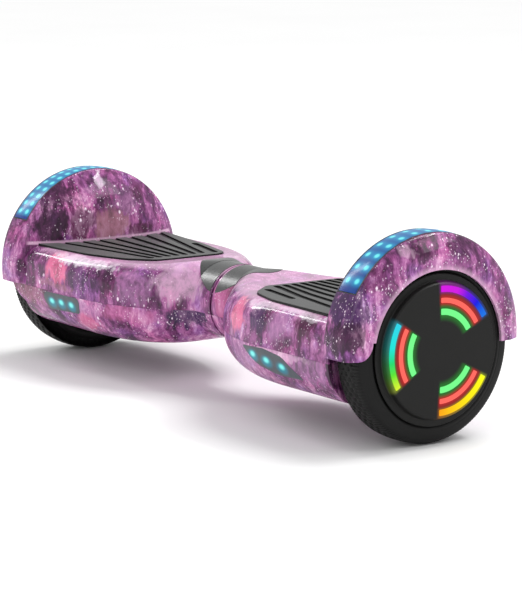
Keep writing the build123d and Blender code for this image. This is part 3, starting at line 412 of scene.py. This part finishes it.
def cable_sleeve(name):
    """Braided sleeve over the cable bundle."""
    t = Tree(name)
    cell = t.voronoi(t.place(), 900).outputs["Distance"]
    colour = t.mix(t.span(cell, 0.1, 0.7), (0.06, 0.06, 0.065), (0.012, 0.012, 0.014))
    return t.surface(Base_Color=colour, Roughness=0.6, Normal=t.bump(cell, 0.5, 0.0004))


# ---------------------------------------------------------------- lit pieces
def wheel_polar(t):
    """Radius about the axle in metres, and angle in turns from the back, up and round."""
    _, y, z = t.split(t.place())
    up = t.math("SUBTRACT", z, AXLE_Z)
    flat = t.combine(0.0, y, up)
    length = t.add("VectorMath", operation="LENGTH")
    t.put(length.inputs[0], flat)
    turn = t.math("DIVIDE", t.math("ARCTAN2", up, y), 2 * pi)
    return length.outputs["Value"], t.math("FRACT", t.math("ADD", turn, 1.0))


HUES = (
    (0.000, (255, 235, 20)), (0.060, (40, 130, 225)), (0.095, (25, 105, 225)), (0.125, (20, 25, 225)),
    (0.165, (110, 20, 225)), (0.200, (205, 25, 225)), (0.265, (215, 20, 225)), (0.340, (120, 120, 235)),
    (0.400, (50, 205, 235)), (0.475, (30, 225, 215)), (0.515, (35, 215, 110)), (0.545, (90, 225, 50)),
    (0.585, (215, 240, 50)), (0.660, (225, 235, 60)), (0.735, (255, 150, 20)), (0.775, (255, 190, 20)),
    (0.840, (255, 228, 15)), (0.910, (252, 250, 20)), (0.935, (215, 255, 50)), (0.980, (235, 250, 30)),
)
HUE_STOPS = tuple((place, srgb(*colour)) for place, colour in HUES)
SALMON_BAR = srgb(255, 105, 95)
GREEN_BAR = srgb(118, 250, 140)
# painted glow: colours of the bars' light laid on the disc beside them
RED_PAINTED_GLOW = srgb(176, 8, 6)
GREEN_PAINTED_GLOW = srgb(4, 112, 18)


def bar_colour(t, radius, turn):
    """Colour of the bar at this radius: the outer one runs through the hues."""
    outer = t.ramp(turn, HUE_STOPS)
    middle = t.mix(t.span(radius, 0.0476, 0.0486), SALMON_BAR, outer)
    return t.mix(t.span(radius, 0.0383, 0.0393), GREEN_BAR, middle)


def wheel_light(name):
    """Lit bars, a little paler in noisy patches."""
    t = Tree(name)
    radius, turn = wheel_polar(t)
    colour = bar_colour(t, radius, turn)
    grain = t.noise(t.place(), 160, 3, 0.5)
    lit = t.mix(t.span(grain, 0.35, 0.75, 0.0, 0.12), colour, t.mix(1.0, colour, (1.3, 1.3, 1.3), "MULTIPLY"))
    return t.surface(Base_Color=t.mix(0.96, colour, (0, 0, 0)), Emission_Color=lit, Emission_Strength=1.0,
                     Roughness=0.5, Specular_IOR_Level=0.05)


def disc_plastic(name):
    """Fine matt black disc with painted glow: emission beside each bar stands in for the bars' light falling
    on the disc.
    """
    t = Tree(name)
    radius, turn = wheel_polar(t)
    place = t.place()
    share = t.math("FRACT", t.math("MULTIPLY", turn, float(BAR_GROUPS)))
    thirds = t.math("ABSOLUTE", t.math("SUBTRACT", share, 0.5))
    edge = BAR_SPAN / 360 * BAR_GROUPS
    along = t.span(thirds, edge + 0.030, edge - 0.012, 0, 1, smooth=True)
    glow = None
    # painted glow beside each bar: the outer one in the bar's hues, the middle red, the inner green
    for middle, half, colour, inward, outward, share in (
        (BAR_RADII[0], BAR_HALF[0], t.ramp(turn, HUE_STOPS), 0.0030, 0.0050, 0.32),
        (BAR_RADII[1], BAR_HALF[1], RED_PAINTED_GLOW, 0.0050, 0.0064, 1.0),
        (BAR_RADII[2], BAR_HALF[2], GREEN_PAINTED_GLOW, 0.0066, 0.0054, 1.0),
    ):
        inside = t.span(radius, middle - half - inward, middle - half + 0.0004, 0, 1, smooth=True)
        outside = t.span(radius, middle + half + outward, middle + half - 0.0004, 0, 1, smooth=True)
        strength = t.math("MULTIPLY", t.math("MULTIPLY", t.math("MINIMUM", inside, outside), along), share)
        glow = t.mix(strength, (0.0, 0.0, 0.0) if glow is None else glow, colour)
    grain = t.noise(place, 1500, 2, 0.6)
    base = t.mix(t.noise(place, 50, 3), srgb(12, 12, 11), srgb(19, 19, 18))
    return t.surface(Base_Color=base, Roughness=t.span(grain, 0.3, 0.7, 0.42, 0.52), Specular_IOR_Level=0.22,
                     Emission_Color=glow, Emission_Strength=1.0, Normal=t.bump(grain, 0.08, 0.0002))


STRIP_BLUE = srgb(26, 46, 132)
STRIP_TOP = srgb(32, 108, 172)
STRIP_EDGE = srgb(14, 28, 70)
DOT_HALO = srgb(30, 150, 200)
DOT_CORE = srgb(110, 240, 245)


def strip_lens(name, pitch, count):
    """Blue strip lens with two rows of lamps shining through it."""
    t = Tree(name)
    x, y, z = t.split(t.place())
    angle = t.math("MULTIPLY", t.math("ARCTAN2", t.math("SUBTRACT", z, ARCH_Z), y), 180 / pi)
    step = t.math("DIVIDE", t.math("SUBTRACT", angle, 90.0), pitch)
    off = t.math("MULTIPLY", t.math("SUBTRACT", step, t.math("ROUND", step)), radians(pitch) * STRIP_R)
    across = t.math("SUBTRACT", t.math("ABSOLUTE", x), sum(LAMP_ROWS) / 2)
    row = t.math("SUBTRACT", t.math("ABSOLUTE", across), (LAMP_ROWS[1] - LAMP_ROWS[0]) / 2)
    present = t.span(t.math("ABSOLUTE", step), count / 2 + 0.02, count / 2 - 0.02)
    core = t.span(t.reach(off, row), 0.0038, 0.0012, 0, 1, smooth=True)
    halo = t.span(t.reach(off, t.math("MULTIPLY", row, 0.55)), 0.0074, 0.0010, 0, 0.9, smooth=True)
    haze = t.noise(t.place(), 90, 3, 0.5)
    blue = t.mix(t.span(z, 0.135, 0.180), STRIP_BLUE, STRIP_TOP)
    blue = t.mix(t.span(haze, 0.35, 0.7, 0, 0.25), blue, STRIP_TOP)
    rim = t.span(t.math("ABSOLUTE", across), 0.0092, 0.0126, 0, 0.75, smooth=True)
    blue = t.mix(rim, blue, STRIP_EDGE)
    lit = t.mix(t.math("MULTIPLY", halo, present), blue, DOT_HALO)
    lit = t.mix(t.math("MULTIPLY", core, present), lit, DOT_CORE)
    return t.surface(Base_Color=t.mix(0.93, lit, (0.0, 0.0, 0.0)), Emission_Color=lit, Emission_Strength=0.95,
                     Roughness=0.3, Specular_IOR_Level=0.2, Coat_Weight=0.15, Coat_Roughness=0.08)


# Middles of the headlight lamps: x and z.
LAMP_SPOTS = {
    "left": ((-0.1603, 0.0646), (-0.1785, 0.0646), (-0.1957, 0.0640)),
    "right": ((0.1392, 0.0650), (0.1594, 0.0624), (0.1812, 0.0598)),
}
LAMP_HALO = srgb(24, 128, 150)
LAMP_CORE = srgb(120, 245, 240)
LAMP_SQUEEZE = 0.66       # the lamps are wider than high


def lamp_lens(name, spots):
    """Smoked lens with three cyan lamps glowing through it."""
    t = Tree(name)
    x, _, z = t.split(t.place())
    haze = t.noise(t.place(), 160, 3, 0.5)
    colour = t.mix(haze, srgb(52, 62, 70), srgb(84, 90, 96))
    for spot_x, spot_z in spots:
        dx = t.math("MULTIPLY", t.math("SUBTRACT", x, spot_x), LAMP_SQUEEZE)
        halo = t.reach(dx, t.math("SUBTRACT", z, spot_z - 0.0008))
        core = t.reach(dx, t.math("SUBTRACT", z, spot_z + 0.0006))
        colour = t.mix(t.span(halo, 0.0074, 0.0022, 0, 0.95, smooth=True), colour, LAMP_HALO)
        colour = t.mix(t.span(core, 0.0040, 0.0008, 0, 1, smooth=True), colour, LAMP_CORE)
    # painted glow: the smoked grey of the lens is emitted along with the lamps, so it shows lit grey by itself
    dark = t.mix(0.75, colour, (0.0, 0.0, 0.0))
    return t.surface(Base_Color=dark, Emission_Color=colour, Emission_Strength=0.8, Roughness=0.3,
                     Specular_IOR_Level=0.2, Coat_Weight=0.3, Coat_Roughness=0.06)


def lamp_board(name):
    """Lamp domes and their board, all lit cyan."""
    t = Tree(name)
    place = t.place()
    grain = t.noise(place, 300, 3, 0.5)
    colour = t.mix(grain, srgb(60, 190, 215), srgb(140, 240, 245))
    return t.surface(Base_Color=colour, Emission_Color=colour, Emission_Strength=0.5, Roughness=0.3)


# ---------------------------------------------------------------- foot pad, tyre
def pad_material(name, top_z):
    """Rubber pad: the tops carry the rubber's colour, and the groove walls and floors below them are painted
    dark as painted shade.
    """
    t = Tree(name)
    place = t.place()
    _, _, z = t.split(place)
    raised = t.span(z, top_z - 0.0005, top_z - 0.0001, 0, 1, smooth=True)
    skirt = t.span(z, top_z - 0.0015, top_z - 0.0014)
    grain = t.noise(place, 1500, 3, 0.6)
    cloud = t.noise(place, 70, 4, 0.6)
    top = t.mix(cloud, srgb(68, 69, 69), srgb(98, 99, 98))
    # painted shade: groove walls dark grey, groove floors near black
    colour = t.mix(raised, t.mix(skirt, srgb(34, 34, 35), srgb(5, 5, 5)), top)
    return t.surface(Base_Color=colour, Roughness=t.span(cloud, 0.3, 0.7, 0.36, 0.46),
                     Specular_IOR_Level=0.20,
                     Normal=t.bump(grain, 0.15, 0.0003))


def arc_points(start, middle, end, count):
    """Points along the circle through three (x, radius) points, without the last one."""
    (ax, ay), (bx, by), (cx, cy) = start, middle, end
    twice = 2 * (ax * (by - cy) + bx * (cy - ay) + cx * (ay - by))
    sa, sb, sc = ax * ax + ay * ay, bx * bx + by * by, cx * cx + cy * cy
    ox = (sa * (by - cy) + sb * (cy - ay) + sc * (ay - by)) / twice
    oy = (sa * (cx - bx) + sb * (ax - cx) + sc * (bx - ax)) / twice
    radius = ((ax - ox) ** 2 + (ay - oy) ** 2) ** 0.5
    first, last = atan2(ay - oy, ax - ox), atan2(cy - oy, cx - ox)
    return [(ox + radius * cos(first + (last - first) * i / count),
             oy + radius * sin(first + (last - first) * i / count)) for i in range(count)]


# Tyre section in millimetres: x from the middle of the board, and radius.
TYRE_PROFILE = (
    arc_points((246.4, 72.5), (249.0, 79.4), (254.5, 81.7), 14)
    + arc_points((254.5, 81.7), (266.0, 82.5), (277.0, 81.7), 28)
    + arc_points((277.0, 81.7), (281.3, 79.9), (283.2, 76.6), 14)
    + [(283.2, 76.6), (283.6, 74.2), (283.95, 72.1), (284.1, 71.2), (284.0, 70.9), (284.25, 70.2),
       (284.5, 69.0), (284.55, 68.4), (284.2, 67.7), (283.2, 66.4), (282.2, 65.1),
       (278.0, 63.7), (262.0, 63.7), (247.0, 63.7), (246.0, 66.0), (246.15, 69.0)]
)
SIPE_COUNT = 172
STEPS_PER_SIPE = 6
SIPE_DEPTH = 0.75
PIT_COUNT = 54
PIT_DEPTH = 1.1
PIT_ROWS = (258.4, 262.2, 266.0, 269.8, 273.6)
TREAD_FROM = 74.0         # the section is cut only above this radius


def smooth_step(value, low, high):
    share = min(max((value - low) / (high - low), 0.0), 1.0)
    return share * share * (3 - 2 * share)


def tread_cut(x, turn):
    """How deep the tread is cut at this place, in millimetres."""
    shoulder = smooth_step(x, 274.0, 275.4) * (1 - smooth_step(x, 280.8, 282.0))
    inner_shoulder = smooth_step(x, 247.6, 248.8) * (1 - smooth_step(x, 254.0, 255.4))
    wave = abs((turn * SIPE_COUNT) % 1 - 0.5) * 2
    cut = max(shoulder, inner_shoulder) * SIPE_DEPTH * smooth_step(wave, 0.45, 0.85)
    for row, middle in enumerate(PIT_ROWS):
        across = abs(x - middle) / 1.5
        along = abs((turn * PIT_COUNT + row * 0.5) % 1 - 0.5) * 2 / 0.36
        cut = max(cut, PIT_DEPTH * smooth_step(1.25 - max(across, along), 0.0, 0.55))
    return cut


def tyre(side, sign):
    """Moulded tyre: round section, shoulder sipes and rows of pits."""
    steps = SIPE_COUNT * STEPS_PER_SIPE
    bm = bmesh.new()
    rings = []
    for i in range(steps):
        angle = 2 * pi * i / steps
        ring = []
        for x, radius in TYRE_PROFILE:
            radius -= tread_cut(x, i / steps) if radius > TREAD_FROM else 0
            y = radius / 1000 * cos(angle)
            z = AXLE_Z + radius / 1000 * sin(angle)
            ring.append(bm.verts.new((sign * x / 1000, y, z)))
        rings.append(ring)
    count = len(TYRE_PROFILE)
    for i in range(steps):
        near, far = rings[i], rings[(i + 1) % steps]
        for j in range(count):
            k = (j + 1) % count
            bm.faces.new((near[j], near[k], far[k], far[j]))
    bmesh.ops.recalc_face_normals(bm, faces=bm.faces)
    mesh = bpy.data.meshes.new(side + "_tyre_tread")
    bm.to_mesh(mesh)
    bm.free()
    mesh.shade_smooth()
    piece = bpy.data.objects.new(side + "_tyre_tread", mesh)
    bpy.context.scene.collection.objects.link(piece)
    return piece


def tyre_material(name):
    """Black tread rubber: dusty on the crown, smoother on the side walls."""
    t = Tree(name)
    place = t.place()
    radius, _ = wheel_polar(t)
    grain = t.noise(place, 1300, 3, 0.6)
    cloud = t.noise(place, 90, 5, 0.6)
    colour = t.mix(cloud, srgb(9, 9, 9), srgb(15, 15, 15))
    crown = t.span(radius, 0.0795, 0.0815, 0, 1, smooth=True)
    dusty = t.mix(cloud, srgb(18, 18, 18), srgb(30, 30, 29))
    colour = t.mix(t.math("MULTIPLY", crown, t.span(cloud, 0.3, 0.7, 0.5, 1.0)), colour, dusty)
    return t.surface(Base_Color=colour, Roughness=t.span(grain, 0.3, 0.7, 0.50, 0.62), Specular_IOR_Level=0.22,
                     Normal=t.bump(grain, 0.15, 0.0003))


# ---------------------------------------------------------------- give every node its material
def wear(node, material):
    """Puts one material on a CAD node."""
    piece = frame["nodes"][node]
    piece.data.materials.clear()
    piece.data.materials.append(material)


def dress():
    """Every CAD node gets its procedural material."""
    black = moulded_plastic("satin_black", srgb(24, 24, 26), srgb(34, 34, 36), 0.42)
    trim = moulded_plastic("satin_grey_trim", srgb(50, 51, 51), srgb(70, 71, 71), 0.30, coat=0.35)
    casting = cast_metal("cast_aluminium", (0.55, 0.56, 0.58), 0.48)
    steel = cast_metal("ground_steel", (0.50, 0.50, 0.52), 0.30, scale=1500.0)
    dark_steel = cast_metal("black_oxide_steel", (0.045, 0.045, 0.050), 0.38, scale=1500.0)
    bronze = cast_metal("sintered_bronze", (0.50, 0.32, 0.12), 0.42)
    magnet = cast_metal("nickel_plate", (0.42, 0.41, 0.38), 0.28)
    soft = rubber("soft_black_rubber", srgb(22, 22, 22), srgb(36, 36, 36))
    board = circuit_board("green_board")
    strip = lamp_board("lit_lamp_strip")
    lamps = lamp_board("lit_headlamps")
    wheel_led = circuit_board("wheel_lamp_board")
    copper = windings("copper_windings")
    sleeve = battery_sleeve("battery_sleeve")
    cable = cable_sleeve("cable_sleeve")
    disc = disc_plastic("matt_black_disc")
    bars = wheel_light("lit_bars")
    finish = {
        "neck_trim": trim, "fender_light_tray": black, "fender_light_board": strip, "headlight_board": lamps,
        "frame": casting, "axle_clamp": casting, "frame_bolts": dark_steel, "shell_screws": dark_steel,
        "gyro_board": board, "stator": copper, "axle": steel, "rotor_drum": casting, "motor_cover": casting,
        "magnet_ring": magnet, "wheel_disc": disc, "wheel_lights": bars, "wheel_light_board": wheel_led,
        "bearings": steel, "pad_plungers": soft, "tyre": soft,
    }
    for side, _ in SIDES:
        for part, material in finish.items():
            wear(f"{side}_{part}", material)
        upper = shell_print(side + "_upper_print", UPPER_PATCHES[side], 0.0, (0.0, 0.0, 0.0))
        lower = shell_print(side + "_lower_print", LOWER_PATCHES[side], 0.05, (0.31, 0.17, 0.05))
        wear(side + "_top_shell", upper)
        wear(side + "_bottom_shell", lower)
        wear(side + "_foot_pad", pad_material(side + "_pad_rubber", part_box(side + "_foot_pad")[1].z))
        lens = strip_lens(side + "_strip_lens", LAMP_PITCH[side], LAMP_PAIRS[side])
        wear(side + "_fender_light_lens", lens)
        wear(side + "_headlight_lens", lamp_lens(side + "_smoked_lens", LAMP_SPOTS[side]))
    wear("pivot_shaft", steel)
    wear("pivot_retainers", dark_steel)
    wear("pivot_bushes", bronze)
    wear("cable_harness", cable)
    wear("battery_pack", sleeve)
    wear("main_board", board)
    for node in ("power_switch", "charge_port"):
        wear(node, black)
    wear("charge_cap", soft)
    wear("power_button", trim)


# Colour patches of the print: centre, radii, colour, strength. A few thin pale bands are painted highlights,
# and one dark patch by the right wheel is painted shade.
UPPER_PATCHES = {
    "left": (
        ((-0.248, -0.052, 0.160), (0.020, 0.022, 0.018), PLUM, 0.72),
        ((-0.233, -0.029, 0.131), (0.020, 0.019, 0.019), WINE, 0.90),
        ((-0.232, 0.006, 0.129), (0.020, 0.016, 0.020), SMOKE, 0.90),
        ((-0.233, 0.037, 0.120), (0.020, 0.016, 0.009), WINE, 0.85),
        ((-0.237, 0.024, 0.150), (0.020, 0.022, 0.014), MAUVE, 0.55),
        ((-0.243, 0.040, 0.159), (0.020, 0.012, 0.009), WINE, 0.60),
        ((-0.240, -0.061, 0.130), (0.020, 0.016, 0.020), PLUM, 0.80),
        # painted highlight along the top edge of the left dome
        ((-0.244, -0.002, 0.172), (0.020, 0.006, 0.007), PAINTED_HIGHLIGHT_WHITE, 0.50),
        ((-0.188, -0.088, 0.101), (0.019, 0.020, 0.019), PINK, 1.00),
        ((-0.150, -0.088, 0.096), (0.018, 0.020, 0.016), VIOLET, 0.50),
        ((-0.112, -0.083, 0.096), (0.020, 0.020, 0.014), PLUM, 0.40),
        ((-0.078, -0.072, 0.094), (0.024, 0.020, 0.018), LILAC, 0.55),
        ((-0.040, -0.044, 0.099), (0.026, 0.024, 0.018), PALE, 0.60),
        ((-0.190, -0.088, 0.080), (0.034, 0.020, 0.004), SMOKE, 0.50),
        # painted highlight along the front edge of the left deck
        ((-0.142, -0.083, 0.111), (0.056, 0.012, 0.006), PAINTED_HIGHLIGHT_WHITE, 0.85),
    ),
    "right": (
        ((0.018, -0.036, 0.092), (0.014, 0.020, 0.024), ROSE, 0.70),
        ((0.108, -0.082, 0.097), (0.015, 0.020, 0.017), PINK, 1.00),
        ((0.146, -0.087, 0.099), (0.015, 0.020, 0.017), VIOLET, 0.90),
        ((0.178, -0.088, 0.096), (0.014, 0.020, 0.016), LILAC, 0.60),
        ((0.213, -0.088, 0.101), (0.018, 0.020, 0.015), WINE, 0.85),
        # painted highlight along the front edge of the right deck
        ((0.180, -0.084, 0.111), (0.085, 0.012, 0.005), PAINTED_HIGHLIGHT_WHITE, 0.60),
        ((0.276, -0.087, 0.126), (0.026, 0.022, 0.023), VIOLET, 0.95),
        ((0.275, -0.094, 0.101), (0.026, 0.022, 0.014), PLUM, 0.85),
        ((0.287, -0.018, 0.168), (0.020, 0.014, 0.009), PLUM, 0.60),
        ((0.287, 0.026, 0.169), (0.020, 0.018, 0.009), PLUM, 0.60),
        ((0.287, -0.063, 0.148), (0.020, 0.012, 0.012), WINE, 0.45),
        # painted highlight on the top of the right fender
        ((0.287, -0.032, 0.170), (0.020, 0.008, 0.007), PALE, 0.50),
    ),
}
LOWER_PATCHES = {
    "left": (
        ((-0.032, -0.039, 0.067), (0.026, 0.020, 0.012), INK, 0.85),
        ((-0.141, -0.082, 0.050), (0.018, 0.020, 0.010), PINK, 0.65),
        ((-0.090, -0.074, 0.066), (0.034, 0.030, 0.008), ROSE, 0.40),
        ((-0.236, -0.088, 0.068), (0.034, 0.020, 0.012), SMOKE, 0.60),
        ((-0.150, -0.086, 0.066), (0.030, 0.020, 0.008), LILAC, 0.45),
    ),
    "right": (
        ((0.221, -0.088, 0.066), (0.032, 0.030, 0.018), LILAC, 0.60),
        ((0.174, -0.088, 0.072), (0.050, 0.020, 0.004), PALE, 0.50),
        # painted shade in the wheel well beside the right tyre
        ((0.258, -0.086, 0.060), (0.012, 0.020, 0.024), PLUM, 0.90),
        ((0.114, -0.082, 0.062), (0.028, 0.030, 0.016), LILAC, 0.50),
    ),
}

dress()
for side, sign in SIDES:
    tread = tyre(side, sign)
    tread.data.materials.append(tyre_material(side + "_tread_rubber"))
    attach(tread, side + "_wheel")
    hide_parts(side + "_tyre")


# ---------------------------------------------------------------- floor, light, camera
FLOOR_R = 14.0
SUN_WAY = Vector((0.06, -0.55, -1.0))
LIT_POINT = Vector((0, 0, 0.08))
# Soft area lights: name, place, width and height, watts.
LIGHTS = (
    ("front", (1.6, -2.2, 1.6), (1.8, 1.8), 14.0),
    ("side", (1.43, 1.32, 1.56), (1.00, 0.80), 8.0),
    ("overhead", (0.30, 1.35, 2.0), (1.6, 0.10), 9.0),
    ("left", (-2.3, -0.55, 1.75), (0.30, 1.3), 14.0),
)
CAMERA_PLACE = Vector((2.0112, -1.4220, 0.5080))
CAMERA_AIM = Vector((-0.46850, 0.35732, -0.01596))
CAMERA_LENS = 161.27
CAMERA_ROLL = radians(0.27)
CAMERA_SHIFT = (0.0014, -0.0005)


def placed(name, data, place, way):
    """Links a light or camera that looks along way."""
    thing = bpy.data.objects.new(name, data)
    thing.location = place
    thing.rotation_euler = way.to_track_quat("-Z", "Y").to_euler()
    bpy.context.scene.collection.objects.link(thing)
    return thing


def studio():
    """Pale floor, white surround, soft lights from above and the front."""
    mesh = bpy.data.meshes.new("floor")
    bm = bmesh.new()
    bmesh.ops.create_circle(bm, cap_ends=True, radius=FLOOR_R, segments=96)
    bm.to_mesh(mesh)
    bm.free()
    floor = bpy.data.objects.new("floor", mesh)
    bpy.context.scene.collection.objects.link(floor)
    floor.location.z = -0.0005
    t = Tree("pale_floor")
    shade = t.mix(t.noise(t.place(), 3, 2), (0.90, 0.90, 0.90), (0.93, 0.93, 0.93))
    floor.data.materials.append(t.surface(Base_Color=shade, Roughness=0.9, Specular_IOR_Level=0.0))

    world = bpy.data.worlds.new("studio")
    bpy.context.scene.world = world
    world.use_nodes = True
    background = world.node_tree.nodes["Background"]
    background.inputs["Color"].default_value = (1.0, 1.0, 1.0, 1.0)
    background.inputs["Strength"].default_value = 0.65

    sun = bpy.data.lights.new("soft_sun", "SUN")
    sun.energy = 1.5
    sun.angle = radians(30.0)
    placed("soft_sun", sun, (0, 0, 0), SUN_WAY)

    for name, place, size, power in LIGHTS:
        light = bpy.data.lights.new(name, "AREA")
        light.shape = "RECTANGLE"
        light.size, light.size_y = size
        light.energy = power
        placed(name, light, place, LIT_POINT - Vector(place))


def camera():
    """Long lens from the right front, a little above."""
    data = bpy.data.cameras.new("camera")
    data.lens = CAMERA_LENS
    data.sensor_width = 36.0
    data.shift_x, data.shift_y = CAMERA_SHIFT
    data.clip_end = 100
    way = CAMERA_AIM - CAMERA_PLACE
    eye = placed("camera", data, CAMERA_PLACE, way)
    roll = Quaternion((0.0, 0.0, 1.0), CAMERA_ROLL)
    eye.rotation_euler = (way.to_track_quat("-Z", "Y") @ roll).to_euler()
    bpy.context.scene.camera = eye


studio()
camera()
scene = bpy.context.scene
scene.view_settings.view_transform = "Standard"
scene.view_settings.look = "None"
